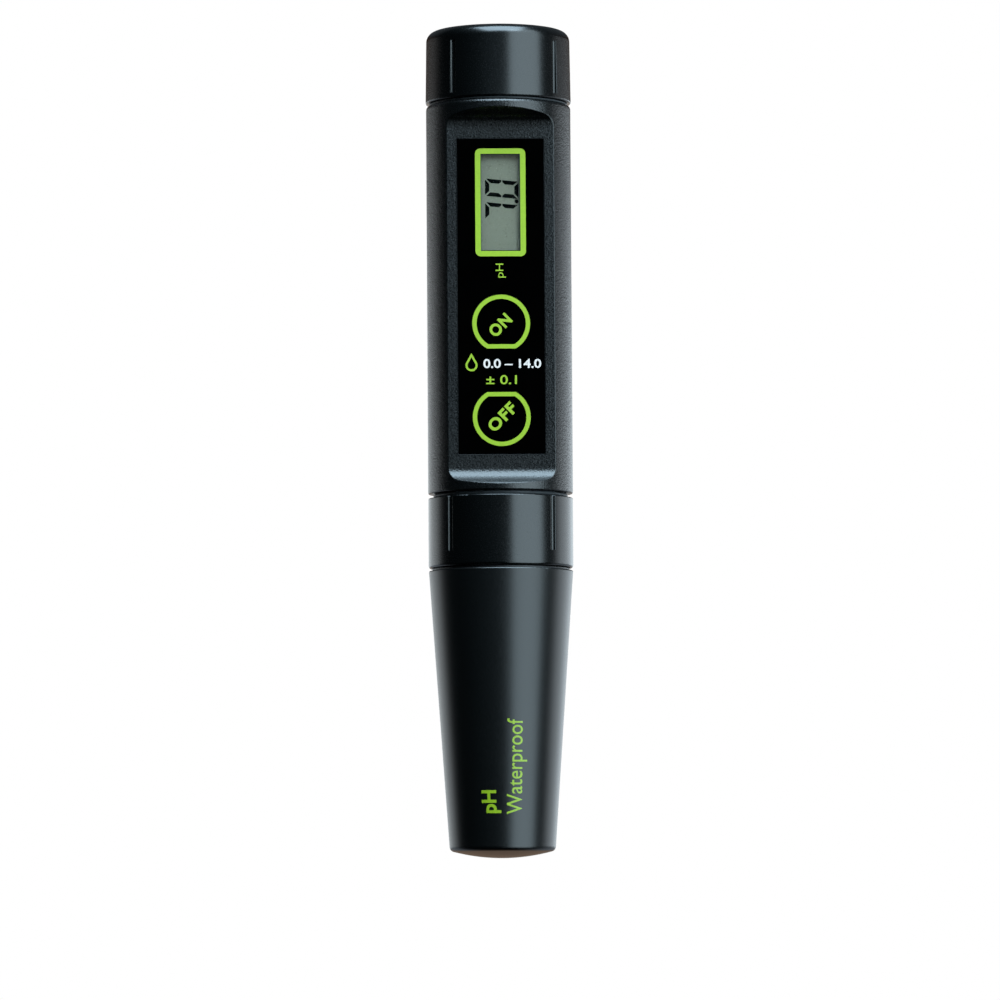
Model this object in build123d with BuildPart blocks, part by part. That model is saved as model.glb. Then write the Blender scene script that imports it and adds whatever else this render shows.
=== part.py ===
"""Waterproof pen-type pH tester, every physical piece as a separate solid.

Millimetres. +Z runs up the pen, the display faces -Y, and the origin is the lowest
point of the domed protective cap, on the pen's own axis.
"""
import os
from math import cos, hypot, radians, sin, tan

from build123d import *

os.makedirs("parts", exist_ok=True)

# Driving dimensions of the pen.
LENGTH = 200.2
BODY_R = 17.5
WALL = 1.8

# Stations along the pen, from the domed end up to the battery end.
SHIELD_TOP_Z = 69.2
COLLAR_Z0, COLLAR_Z1 = 69.7, 86.7
BODY_Z0, BODY_Z1 = 87.8, 182.0
BATTERY_CAP_Z0 = 182.6

# Recess in front: a flat with two end ramps, each blended into the flat.
FLAT_Y = 11.8
RAMP_Z0, RAMP_Z0_SLOPE, RAMP_Z0_R = 90.8, 14.0, 3.3
RAMP_Z1, RAMP_Z1_SLOPE, RAMP_Z1_R = 177.8, 20.0, 3.0

# Keypad overlay, a printed film set into a shallow pocket of the flat.
OVERLAY_W, OVERLAY_H, OVERLAY_Z = 21.1, 76.4, 134.65
OVERLAY_T, POCKET_DEPTH, POCKET_GAP = 0.25, 0.3, 0.1
OVERLAY_BACK_Y = FLAT_Y - POCKET_DEPTH
WINDOW_W, WINDOW_H, WINDOW_Z = 9.7, 23.2, 157.35

# Keys: discs of film with one flat side, on stems that reach the switches.
KEY_R, KEY_FLAT, KEY_GAP = 7.05, 6.05, 0.08
ON_KEY_Z, OFF_KEY_Z = 128.1, 105.5
KEY_WELL = 0.45
KEY_STEM_R, KEY_HOLE_R = 2.6, 3.0

# Circuit board and what it carries.
BOARD_FRONT_Y, BOARD_T = 6.0, 1.2
BOARD_BACK_Y = BOARD_FRONT_Y - BOARD_T
BOARD_W, BOARD_Z0, BOARD_Z1 = 22.6, 94.0, 180.0
SWITCH_SIDE, SWITCH_T, PLUNGER_R = 6.0, 1.6, 1.5
PLUNGER_TIP_Y = 8.2
LCD_W, LCD_H, LCD_T, LCD_FRONT_Y = 12.4, 27.0, 1.1, 10.55

# Battery bay: a tube behind the board for a stack of four button cells.
CELL_R, CELL_H, CELL_COUNT, CELL_GAP = 5.8, 5.4, 4, 0.02
BAY_Y, BAY_R, BAY_WALL, BAY_Z0 = 5.0, 6.0, 1.3, 165.0
CELL_Z0 = 168.4

# Screwed joints of the two ends: plain spigots inside plain bores.
SPIGOT_R, SPIGOT_BORE_R, THREAD_BORE_R = 14.9, 12.9, 15.5
TOP_SPIGOT_Z1 = 191.6
LOWER_SPIGOT_Z0 = 76.4

# Probe module, held up against the housing by the collar.
COLLAR_R, COLLAR_SHOULDER_Z, COLLAR_HOLE_R = 17.47, 73.2, 13.1
NECK_R, FLANGE_R, HEAD_R = 12.8, 14.4, 12.5
STEM_R, STEM_TIP_R, STEM_BORE_R = 8.0, 7.2, 6.2
GUARD_Z0, STEM_END_Z = 9.5, 24.0
GLASS_R, BULB_R, BULB_Z, GLASS_WALL = 2.75, 3.4, 14.2, 0.5
PIN_R, PIN_X = 0.45, (0.0, 4.3)

# Round-bottomed grip grooves along the battery cap and the collar.
GROOVE_R, GROOVE_OUT, GROOVE_LIP_R = 0.7, 0.12, 0.2
GROOVE_ANGLES = (-45, -135, 45, 135)


def turned_outline(points, rounds=(), axis_y=0.0):
    """Face to be revolved about Z, from (radius, z) points, with chosen corners rounded."""
    with BuildSketch(Plane.XZ.offset(-axis_y)) as outline:
        with BuildLine():
            Polyline(*points, close=True)
        make_face()
        for corner, radius in rounds:
            fillet(outline.vertices().sort_by_distance(Vector(*corner))[0], radius)
    return outline.sketch


def ring_outline(major_r, minor_r, z):
    """Round section of a rubber ring, to be revolved about Z."""
    with BuildSketch(Plane.XZ) as section:
        with Locations((major_r, z)):
            Circle(minor_r)
    return section.sketch


def key_outline(radius, flat, sign, z, depth_y):
    """Disc with one flat side, on the plane at -depth_y; sign +1 has its flat above."""
    with BuildSketch(Plane.XZ.offset(depth_y)) as outline:
        with Locations((0, z)):
            Circle(radius)
        with Locations((0, z + sign * (flat + radius))):
            Rectangle(4 * radius, 2 * radius, mode=Mode.SUBTRACT)
    return outline.sketch


def plate_outline(width, height, z, depth_y, x=0.0):
    """Upright rectangle on the plane at -depth_y."""
    with BuildSketch(Plane.XZ.offset(depth_y)) as outline:
        with Locations((x, z)):
            Rectangle(width, height)
    return outline.sketch


def groove_cutter(z0, z1, radius, turned=0.0):
    """Four upright rods that stand on the surface where the grip grooves go."""
    with BuildPart() as bars:
        for angle in (groove_angle + turned for groove_angle in GROOVE_ANGLES):
            out = radius + GROOVE_OUT
            with Locations((out * cos(radians(angle)), out * sin(radians(angle)), (z0 + z1) / 2)):
                Cylinder(GROOVE_R, z1 - z0)
    return bars.part


def lip_edges(part, radius, z0, z1):
    """Edges of the grip grooves that lie on the outer surface."""
    def on_lip(edge):
        middle = edge @ 0.5
        near_surface = hypot(middle.X, middle.Y) > radius - 0.35
        inside_span = z0 + 0.1 < middle.Z < z1 - 0.1
        return near_surface and inside_span and abs((edge % 0.5).Z) > 0.9
    return part.edges().filter_by(on_lip)


# ---------------------------------------------------------------- housing

with BuildPart() as main_housing:
    revolve(turned_outline(
        [(0, LOWER_SPIGOT_Z0), (SPIGOT_R, LOWER_SPIGOT_Z0), (SPIGOT_R, BODY_Z0), (BODY_R, BODY_Z0),
         (BODY_R, BODY_Z1), (SPIGOT_R, BODY_Z1), (SPIGOT_R, TOP_SPIGOT_Z1), (0, TOP_SPIGOT_Z1)],
        [((BODY_R, BODY_Z1), 0.9), ((BODY_R, BODY_Z0), 0.35)]), Axis.Z)
    # Recess: its side profile, swept across the front.
    reach = 3.0
    low_rise = (BODY_R + reach - FLAT_Y) * tan(radians(RAMP_Z0_SLOPE))
    high_rise = (BODY_R + reach - FLAT_Y) * tan(radians(RAMP_Z1_SLOPE))
    with BuildSketch(Plane.YZ.offset(-BODY_R - reach)) as recess_side:
        with BuildLine():
            Polyline((-FLAT_Y, RAMP_Z0), (-BODY_R - reach, RAMP_Z0 - low_rise),
                     (-BODY_R - reach, RAMP_Z1 + high_rise), (-FLAT_Y, RAMP_Z1), close=True)
        make_face()
        fillet(recess_side.vertices().sort_by_distance(Vector(-FLAT_Y, RAMP_Z0))[0], RAMP_Z0_R)
        fillet(recess_side.vertices().sort_by_distance(Vector(-FLAT_Y, RAMP_Z1))[0], RAMP_Z1_R)
    extrude(amount=2 * (BODY_R + reach), mode=Mode.SUBTRACT)

    def on_recess_rim(edge):
        """Edges where the recess breaks out through the round outside."""
        middle = edge @ 0.5
        on_round = abs(hypot(middle.X, middle.Y) - BODY_R) < 0.02
        return on_round and middle.Y < -1 and BODY_Z0 + 0.9 < middle.Z < BODY_Z1 - 1.2
    fillet(main_housing.edges().filter_by(on_recess_rim), 0.3)

    # Cavity, with a flat front wall behind the recess.
    with BuildSketch(Plane.XY.offset(90.0)) as cavity:
        Circle(15.3)
        with Locations((0, -FLAT_Y + WALL - 10)):
            Rectangle(40, 20, mode=Mode.SUBTRACT)
    extrude(amount=90.0, mode=Mode.SUBTRACT)
    with BuildSketch(Plane.XY.offset(179.0)) as top_bore:
        Circle(SPIGOT_BORE_R)
    extrude(amount=20.0, mode=Mode.SUBTRACT)
    with BuildSketch(Plane.XY.offset(LOWER_SPIGOT_Z0)) as probe_bore:
        Circle(SPIGOT_BORE_R)
    extrude(amount=86.0 - LOWER_SPIGOT_Z0, mode=Mode.SUBTRACT)
    with BuildSketch(Plane.XY.offset(85.0)) as socket_hole:
        with Locations((PIN_X[1] / 2, 0)):
            Circle(6.0)
    extrude(amount=6.0, mode=Mode.SUBTRACT)
    # Groove for the sealing ring of the battery cap.
    revolve(turned_outline([(14.1, 183.4), (16, 183.4), (16, 184.9), (14.1, 184.9)]), Axis.Z,
            mode=Mode.SUBTRACT)
    # Pocket for the film, display opening, a thinner wall over the display, key wells.
    extrude(plate_outline(OVERLAY_W + 2 * POCKET_GAP, OVERLAY_H + 2 * POCKET_GAP, OVERLAY_Z, FLAT_Y),
            amount=-POCKET_DEPTH, mode=Mode.SUBTRACT)
    extrude(plate_outline(WINDOW_W, WINDOW_H, WINDOW_Z, FLAT_Y), amount=-WALL - 1, mode=Mode.SUBTRACT)
    extrude(plate_outline(LCD_W + 0.6, LCD_H + 0.6, WINDOW_Z, LCD_FRONT_Y + 0.05), amount=-2.0,
            mode=Mode.SUBTRACT)
    for key_z, key_sign in ((ON_KEY_Z, -1), (OFF_KEY_Z, 1)):
        extrude(key_outline(KEY_R + 0.1, KEY_FLAT + 0.1, key_sign, key_z, OVERLAY_BACK_Y),
                amount=-KEY_WELL, mode=Mode.SUBTRACT)
        with BuildSketch(Plane.XZ.offset(FLAT_Y)) as stem_hole:
            with Locations((0, key_z)):
                Circle(KEY_HOLE_R)
        extrude(amount=-WALL - 1, mode=Mode.SUBTRACT)
    # Two ribs with a slot each, in which the circuit board slides.
    for side in (-1, 1):
        with BuildSketch(Plane.XY.offset(90.0)) as board_rib:
            with Locations((side * 13.1, -BOARD_BACK_Y - BOARD_T / 2)):
                Rectangle(4.4, 4.2)
            with Locations((side * 11.1, -BOARD_BACK_Y - BOARD_T / 2)):
                Rectangle(1.2, BOARD_T + 0.2, mode=Mode.SUBTRACT)
        extrude(amount=75.0)
main_housing.part.label = "main_housing"
export_step(main_housing.part, "parts/main_housing.step")

with BuildPart() as keypad_overlay:
    extrude(plate_outline(OVERLAY_W, OVERLAY_H, OVERLAY_Z, OVERLAY_BACK_Y), amount=OVERLAY_T)
    extrude(plate_outline(WINDOW_W, WINDOW_H, WINDOW_Z, OVERLAY_BACK_Y - 1), amount=3, mode=Mode.SUBTRACT)
    for key_z, key_sign in ((ON_KEY_Z, -1), (OFF_KEY_Z, 1)):
        extrude(key_outline(KEY_R + KEY_GAP, KEY_FLAT + KEY_GAP, key_sign, key_z, OVERLAY_BACK_Y - 1),
                amount=3, mode=Mode.SUBTRACT)
keypad_overlay.part.label = "keypad_overlay"
export_step(keypad_overlay.part, "parts/keypad_overlay.step")

with BuildPart() as display_window:
    extrude(plate_outline(WINDOW_W, WINDOW_H, WINDOW_Z, OVERLAY_BACK_Y + 0.05), amount=0.15)
display_window.part.label = "display_window"
export_step(display_window.part, "parts/display_window.step")

# ---------------------------------------------------------------- keys and switches

for name, key_z, key_sign in (("on", ON_KEY_Z, -1), ("off", OFF_KEY_Z, 1)):
    with BuildPart() as key:
        extrude(key_outline(KEY_R, KEY_FLAT, key_sign, key_z, OVERLAY_BACK_Y), amount=OVERLAY_T)
        with BuildSketch(Plane.XZ.offset(PLUNGER_TIP_Y)) as stem:
            with Locations((0, key_z)):
                Circle(KEY_STEM_R)
        extrude(amount=OVERLAY_BACK_Y - PLUNGER_TIP_Y)
    key.part.label = f"{name}_key"
    export_step(key.part, f"parts/{name}_key.step")

    with BuildPart() as switch_plunger:
        with BuildSketch(Plane.XZ.offset(PLUNGER_TIP_Y)) as plunger_round:
            with Locations((0, key_z)):
                Circle(PLUNGER_R)
        extrude(amount=-1.2)
    switch_plunger.part.label = f"{name}_switch_plunger"
    export_step(switch_plunger.part, f"parts/{name}_switch_plunger.step")

    with BuildPart() as switch_body:
        extrude(plate_outline(SWITCH_SIDE, SWITCH_SIDE, key_z, BOARD_FRONT_Y), amount=SWITCH_T)
        with BuildSketch(Plane.XZ.offset(BOARD_FRONT_Y + SWITCH_T)) as switch_hole:
            with Locations((0, key_z)):
                Circle(PLUNGER_R + 0.06)
        extrude(amount=-SWITCH_T + 0.3, mode=Mode.SUBTRACT)
    switch_body.part.label = f"{name}_switch_body"
    export_step(switch_body.part, f"parts/{name}_switch_body.step")

# ---------------------------------------------------------------- display and board

with BuildPart() as lcd_glass:
    extrude(plate_outline(LCD_W, LCD_H, WINDOW_Z, LCD_FRONT_Y - LCD_T), amount=LCD_T)
lcd_glass.part.label = "lcd_glass"
export_step(lcd_glass.part, "parts/lcd_glass.step")

LCD_BACK_Y = LCD_FRONT_Y - LCD_T
FRAME_W, FRAME_H, FRAME_WALL = 14.6, 28.6, 1.0
STRIP_W, STRIP_H, STRIP_X = 1.8, 25.0, 5.0

with BuildPart() as lcd_frame:
    extrude(plate_outline(FRAME_W, FRAME_H, WINDOW_Z, BOARD_FRONT_Y), amount=LCD_BACK_Y - BOARD_FRONT_Y)
    extrude(plate_outline(FRAME_W - 2 * FRAME_WALL, FRAME_H - 2 * FRAME_WALL, WINDOW_Z, BOARD_FRONT_Y - 1),
            amount=8, mode=Mode.SUBTRACT)
lcd_frame.part.label = "lcd_frame"
export_step(lcd_frame.part, "parts/lcd_frame.step")

with BuildPart() as contact_strips:
    for side in (-1, 1):
        extrude(plate_outline(STRIP_W, STRIP_H, WINDOW_Z, BOARD_FRONT_Y, side * STRIP_X),
                amount=LCD_BACK_Y - BOARD_FRONT_Y)
contact_strips.part.label = "contact_strips"
export_step(contact_strips.part, "parts/contact_strips.step")

SCREW_X, SCREW_Z, SCREW_R, SCREW_HEAD_R = 9.4, 171.0, 0.8, 1.5

with BuildPart() as main_board:
    extrude(plate_outline(BOARD_W, BOARD_Z1 - BOARD_Z0, (BOARD_Z0 + BOARD_Z1) / 2, BOARD_BACK_Y), amount=BOARD_T)
    with BuildSketch(Plane.XZ.offset(BOARD_FRONT_Y)) as screw_holes:
        with Locations((-SCREW_X, SCREW_Z), (SCREW_X, SCREW_Z)):
            Circle(SCREW_R + 0.1)
    extrude(amount=-BOARD_T, mode=Mode.SUBTRACT)
main_board.part.label = "main_board"
export_step(main_board.part, "parts/main_board.step")

with BuildPart() as processor_chip:
    extrude(plate_outline(9.0, 9.0, 136.0, BOARD_BACK_Y), amount=-1.6)
    chamfer(processor_chip.faces().sort_by(Axis.Y)[-1].edges(), 0.25)
processor_chip.part.label = "processor_chip"
export_step(processor_chip.part, "parts/processor_chip.step")

with BuildPart() as amplifier_chip:
    extrude(plate_outline(4.0, 5.0, 104.0, BOARD_BACK_Y), amount=-1.5)
    chamfer(amplifier_chip.faces().sort_by(Axis.Y)[-1].edges(), 0.25)
amplifier_chip.part.label = "amplifier_chip"
export_step(amplifier_chip.part, "parts/amplifier_chip.step")

with BuildPart() as small_components:
    with BuildSketch(Plane.XZ.offset(BOARD_BACK_Y)) as component_feet:
        with Locations((0, 117.0)):
            with GridLocations(3.6, 4.2, 4, 4):
                Rectangle(1.25, 2.0)
    extrude(amount=-0.7)
small_components.part.label = "small_components"
export_step(small_components.part, "parts/small_components.step")

# ---------------------------------------------------------------- battery bay

with BuildPart() as battery_holder:
    with BuildSketch(Plane.XY.offset(BAY_Z0)) as bay_tube:
        with Locations((0, BAY_Y)):
            Circle(BAY_R + BAY_WALL)
    extrude(amount=188.0 - BAY_Z0)
    with BuildSketch(Plane.XY.offset(166.0)) as bay_foot:
        with Locations((0, -BOARD_BACK_Y + 1.5)):
            Rectangle(21.6, 3.0)
    extrude(amount=10.0)
    with BuildSketch(Plane.XY.offset(BAY_Z0 + 1.2)) as bay_bore:
        with Locations((0, BAY_Y)):
            Circle(BAY_R)
    extrude(amount=30.0, mode=Mode.SUBTRACT)
    with BuildSketch(Plane.XZ.offset(BOARD_BACK_Y)) as pilot_holes:
        with Locations((-SCREW_X, SCREW_Z), (SCREW_X, SCREW_Z)):
            Circle(SCREW_R)
    extrude(amount=-2.6, mode=Mode.SUBTRACT)
battery_holder.part.label = "battery_holder"
export_step(battery_holder.part, "parts/battery_holder.step")

with BuildPart() as board_screws:
    for side in (-1, 1):
        with BuildSketch(Plane.XZ.offset(BOARD_FRONT_Y)) as screw_head:
            with Locations((side * SCREW_X, SCREW_Z)):
                Circle(SCREW_HEAD_R)
        extrude(amount=1.0)
        with BuildSketch(Plane.XZ.offset(BOARD_FRONT_Y)) as screw_shank:
            with Locations((side * SCREW_X, SCREW_Z)):
                Circle(SCREW_R)
        extrude(amount=-BOARD_T - 2.4)
    with BuildSketch(Plane.XZ.offset(BOARD_FRONT_Y + 1.0)) as screw_drive:
        with Locations((-SCREW_X, SCREW_Z), (SCREW_X, SCREW_Z)):
            Rectangle(1.9, 0.4)
            Rectangle(0.4, 1.9)
    extrude(amount=-0.5, mode=Mode.SUBTRACT)
board_screws.part.label = "board_screws"
export_step(board_screws.part, "parts/board_screws.step")

for index in range(CELL_COUNT):
    cell_base = CELL_Z0 + index * CELL_H
    with BuildPart() as button_cell:
        rim = CELL_R - 0.9
        step_z = cell_base + 0.8
        revolve(turned_outline(
            [(0, cell_base + CELL_GAP), (rim, cell_base + CELL_GAP), (rim, step_z), (CELL_R, step_z),
             (CELL_R, cell_base + CELL_H), (0, cell_base + CELL_H)],
            [((CELL_R, cell_base + CELL_H), 0.35), ((CELL_R, step_z), 0.2)], BAY_Y),
            Axis((0, BAY_Y, 0), (0, 0, 1)))
    button_cell.part.label = f"button_cell_{index + 1}"
    export_step(button_cell.part, f"parts/button_cell_{index + 1}.step")

with BuildPart() as battery_spring:
    with BuildSketch(Plane.XY.offset(BAY_Z0 + 1.2)) as spring_foot:
        with Locations((0, BAY_Y)):
            Circle(5.2)
    extrude(amount=0.3)
    with BuildSketch(Plane.YZ.offset(-1.5)) as spring_tongue:
        with BuildLine():
            Polyline((BAY_Y - 3.4, BAY_Z0 + 1.5), (BAY_Y + 1.0, CELL_Z0), (BAY_Y + 3.0, CELL_Z0 - 0.9),
                     (BAY_Y + 2.8, CELL_Z0 - 1.15), (BAY_Y + 1.0, CELL_Z0 - 0.35),
                     (BAY_Y - 2.6, BAY_Z0 + 1.5), close=True)
        make_face()
    extrude(amount=3.0)
battery_spring.part.label = "battery_spring"
export_step(battery_spring.part, "parts/battery_spring.step")

STRIP_FRONT_Y = BAY_Y - BAY_R - BAY_WALL
with BuildPart() as supply_strip:
    with BuildSketch(Plane.YZ.offset(-1.5)) as strip_side:
        with BuildLine():
            Polyline((STRIP_FRONT_Y, 188.6), (STRIP_FRONT_Y - 0.4, 188.6), (STRIP_FRONT_Y - 0.4, 178.4),
                     (-BOARD_BACK_Y, 178.4), (-BOARD_BACK_Y, 178.0), (STRIP_FRONT_Y, 178.0), close=True)
        make_face()
    extrude(amount=3.0)
supply_strip.part.label = "supply_strip"
export_step(supply_strip.part, "parts/supply_strip.step")

TRIMMER_X, TRIMMER_Z0, TRIMMER_Z1, ROTOR_R = 5.0, 173.2, 178.2, 1.5
TRIMMER_Y = BOARD_FRONT_Y + 2.0
for name, side in (("offset", -1), ("slope", 1)):
    with BuildPart() as trimmer_body:
        with BuildSketch(Plane.XY.offset(TRIMMER_Z0)) as trimmer_foot:
            with Locations((side * TRIMMER_X, -TRIMMER_Y)):
                Rectangle(4.6, 4.0)
        extrude(amount=TRIMMER_Z1 - TRIMMER_Z0)
        with BuildSketch(Plane.XY.offset(TRIMMER_Z1)) as trimmer_well:
            with Locations((side * TRIMMER_X, -TRIMMER_Y)):
                Circle(ROTOR_R + 0.06)
        extrude(amount=-1.5, mode=Mode.SUBTRACT)
    trimmer_body.part.label = f"{name}_trimmer_body"
    export_step(trimmer_body.part, f"parts/{name}_trimmer_body.step")

    with BuildPart() as trimmer_rotor:
        with BuildSketch(Plane.XY.offset(TRIMMER_Z1 - 1.4)) as rotor_round:
            with Locations((side * TRIMMER_X, -TRIMMER_Y)):
                Circle(ROTOR_R)
        extrude(amount=1.9)
        with BuildSketch(Plane.XY.offset(TRIMMER_Z1 + 0.5)) as rotor_slot:
            with Locations((side * TRIMMER_X, -TRIMMER_Y)):
                Rectangle(0.6, 4.0)
        extrude(amount=-0.7, mode=Mode.SUBTRACT)
    trimmer_rotor.part.label = f"{name}_trimmer_rotor"
    export_step(trimmer_rotor.part, f"parts/{name}_trimmer_rotor.step")

# ---------------------------------------------------------------- battery cap

CAP_BASE_R, CAP_TOP_R = 17.6, 17.35
with BuildPart() as battery_cap:
    revolve(turned_outline(
        [(THREAD_BORE_R, BATTERY_CAP_Z0), (CAP_BASE_R, BATTERY_CAP_Z0), (CAP_TOP_R, LENGTH), (0, LENGTH),
         (0, 197.6), (14.2, 197.6), (14.2, 192.4), (THREAD_BORE_R, 192.4)],
        [((CAP_TOP_R, LENGTH), 2.5), ((CAP_BASE_R, BATTERY_CAP_Z0), 0.3)]), Axis.Z)
    # The thread stops the cap a few degrees past the collar's grooves.
    add(groove_cutter(183.8, 196.6, 17.45, 4.3), mode=Mode.SUBTRACT)
    fillet(lip_edges(battery_cap, 17.45, 183.8, 196.6), GROOVE_LIP_R)
    with BuildSketch(Plane.XY.offset(197.0)) as rivet_hole:
        Circle(1.2)
    extrude(amount=1.8, mode=Mode.SUBTRACT)
battery_cap.part.label = "battery_cap"
export_step(battery_cap.part, "parts/battery_cap.step")

with BuildPart() as contact_plate:
    with BuildSketch(Plane.XY.offset(197.1)) as plate_round:
        Circle(11.0)
        Circle(1.35, mode=Mode.SUBTRACT)
    extrude(amount=0.4)
    # Two bent tongues: one on the top cell, one on the supply strip.
    for root_y, foot_y, foot_z in ((2.8, BAY_Y, CELL_Z0 + CELL_COUNT * CELL_H + 0.05),
                                   (-8.2, STRIP_FRONT_Y - 0.2, 188.65)):
        lean = 1.0 if foot_y > root_y else -1.0
        with BuildSketch(Plane.YZ.offset(-1.5)) as tongue_side:
            with BuildLine():
                Polyline((root_y, 197.1), (foot_y, foot_z), (foot_y + 0.9 * lean, foot_z + 0.9),
                         (foot_y + 0.65 * lean, foot_z + 1.15), (foot_y, foot_z + 0.5),
                         (root_y + 0.4 * lean, 197.1), close=True)
            make_face()
        extrude(amount=3.0)
contact_plate.part.label = "contact_plate"
export_step(contact_plate.part, "parts/contact_plate.step")

with BuildPart() as contact_rivet:
    revolve(turned_outline([(0, 196.3), (2.2, 196.3), (2.2, 197.0), (1.2, 197.0), (1.2, 198.8), (0, 198.8)],
                           [((2.2, 196.3), 0.4)]), Axis.Z)
contact_rivet.part.label = "contact_rivet"
export_step(contact_rivet.part, "parts/contact_rivet.step")

with BuildPart() as battery_cap_gasket:
    revolve(turned_outline([(15.0, 182.03), (16.7, 182.03), (16.7, 182.5), (15.0, 182.5)],
                           [((16.7, 182.03), 0.15), ((16.7, 182.5), 0.15)]), Axis.Z)
battery_cap_gasket.part.label = "battery_cap_gasket"
export_step(battery_cap_gasket.part, "parts/battery_cap_gasket.step")

# ---------------------------------------------------------------- sealing rings

for name, major_r, minor_r, ring_z in (
        ("battery_cap_o_ring", 14.78, 0.64, 184.15),
        ("collar_o_ring", 15.7, 0.5, 87.25),
        ("probe_head_o_ring", 12.26, 0.56, 79.0),
        ("shield_o_ring", 14.74, 0.62, 64.9)):
    with BuildPart() as sealing_ring:
        revolve(ring_outline(major_r, minor_r, ring_z), Axis.Z)
    sealing_ring.part.label = name
    export_step(sealing_ring.part, f"parts/{name}.step")

# ---------------------------------------------------------------- collar

with BuildPart() as probe_collar:
    revolve(turned_outline(
        [(COLLAR_HOLE_R, COLLAR_Z0), (COLLAR_R, COLLAR_Z0), (COLLAR_R, COLLAR_Z1), (THREAD_BORE_R, COLLAR_Z1),
         (THREAD_BORE_R, COLLAR_SHOULDER_Z), (COLLAR_HOLE_R, COLLAR_SHOULDER_Z)],
        [((COLLAR_R, COLLAR_Z0), 0.8), ((COLLAR_R, COLLAR_Z1), 0.2)]), Axis.Z)
    add(groove_cutter(73.5, COLLAR_Z1 + 1.0, 17.45, -1.0), mode=Mode.SUBTRACT)
    fillet(lip_edges(probe_collar, 17.45, 73.5, COLLAR_Z1), GROOVE_LIP_R)
probe_collar.part.label = "probe_collar"
export_step(probe_collar.part, "parts/probe_collar.step")

# ---------------------------------------------------------------- probe module

NECK_Z0 = 60.8
with BuildPart() as probe_body:
    revolve(turned_outline(
        [(0, GUARD_Z0), (STEM_TIP_R, GUARD_Z0), (STEM_R, 52.0), (NECK_R - 1.0, 58.0), (NECK_R, NECK_Z0),
         (NECK_R, 73.25), (FLANGE_R, 73.25), (FLANGE_R, 75.9), (HEAD_R, 75.9), (HEAD_R, 83.5), (0, 83.5)],
        [((STEM_R, 52.0), 3.0), ((HEAD_R, 83.5), 0.6)]), Axis.Z)
    revolve(turned_outline([(11.65, 78.2), (14, 78.2), (14, 79.8), (11.65, 79.8)]), Axis.Z,
            mode=Mode.SUBTRACT)
    # Hollow for the electrolyte, a thin end wall, and the open guard below it.
    with BuildSketch(Plane.XY.offset(STEM_END_Z + 2.0)) as electrolyte_bore:
        Circle(STEM_BORE_R)
    extrude(amount=81.0 - STEM_END_Z - 2.0, mode=Mode.SUBTRACT)
    with BuildSketch(Plane.XY.offset(GUARD_Z0)) as guard_bore:
        Circle(STEM_TIP_R - 1.6)
    extrude(amount=STEM_END_Z - GUARD_Z0, mode=Mode.SUBTRACT)
    with BuildSketch(Plane.XY.offset(GUARD_Z0)) as guard_slots:
        Rectangle(3.6, 40)
        Rectangle(40, 3.6)
    extrude(amount=12.0, mode=Mode.SUBTRACT)
    # Holes of the glass tube, of the junction and of the two contact pins.
    with BuildSketch(Plane.XY.offset(STEM_END_Z - 1.0)) as glass_hole:
        Circle(GLASS_R + 0.05)
        with Locations((PIN_X[1], 0)):
            Circle(0.9)
    extrude(amount=4.0, mode=Mode.SUBTRACT)
    with BuildSketch(Plane.XY.offset(80.0)) as pin_holes:
        with Locations((PIN_X[0], 0), (PIN_X[1], 0)):
            Circle(PIN_R)
    extrude(amount=5.0, mode=Mode.SUBTRACT)
probe_body.part.label = "probe_body"
export_step(probe_body.part, "parts/probe_body.step")

with BuildPart() as seat_ring:
    revolve(turned_outline(
        [(NECK_R, 60.9), (15.2, 60.9), (15.2, 64.1), (14.1, 64.1), (14.1, 65.7), (15.2, 65.7), (15.2, 69.28),
         (16.5, 69.28), (16.5, 69.6), (NECK_R, 69.6)],
        [((15.2, 60.9), 0.5)]), Axis.Z)
seat_ring.part.label = "seat_ring"
export_step(seat_ring.part, "parts/seat_ring.step")

with BuildPart() as glass_electrode:
    with Locations((0, 0, BULB_Z)):
        Sphere(BULB_R)
    with BuildSketch(Plane.XY.offset(BULB_Z)) as glass_tube:
        Circle(GLASS_R)
    extrude(amount=62.0 - BULB_Z)
    with Locations((0, 0, BULB_Z)):
        Sphere(BULB_R - GLASS_WALL, mode=Mode.SUBTRACT)
    with BuildSketch(Plane.XY.offset(BULB_Z)) as glass_bore:
        Circle(GLASS_R - GLASS_WALL)
    extrude(amount=50.0, mode=Mode.SUBTRACT)
glass_electrode.part.label = "glass_electrode"
export_step(glass_electrode.part, "parts/glass_electrode.step")

for name, wire_x, wire_z0 in (("sensing_wire", PIN_X[0], BULB_Z), ("reference_wire", PIN_X[1], 28.0)):
    with BuildPart() as electrode_wire:
        with BuildSketch(Plane.XY.offset(wire_z0)) as wire_round:
            with Locations((wire_x, 0)):
                Circle(0.35)
        extrude(amount=80.0 - wire_z0)
    electrode_wire.part.label = name
    export_step(electrode_wire.part, f"parts/{name}.step")

with BuildPart() as reference_junction:
    with BuildSketch(Plane.XY.offset(STEM_END_Z - 1.2)) as junction_round:
        with Locations((PIN_X[1], 0)):
            Circle(0.9)
    extrude(amount=3.6)
reference_junction.part.label = "reference_junction"
export_step(reference_junction.part, "parts/reference_junction.step")

with BuildPart() as stem_plug:
    with BuildSketch(Plane.XY.offset(62.05)) as plug_round:
        Circle(STEM_BORE_R)
        with Locations((PIN_X[0], 0), (PIN_X[1], 0)):
            Circle(0.4, mode=Mode.SUBTRACT)
    extrude(amount=4.0)
stem_plug.part.label = "stem_plug"
export_step(stem_plug.part, "parts/stem_plug.step")

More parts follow.
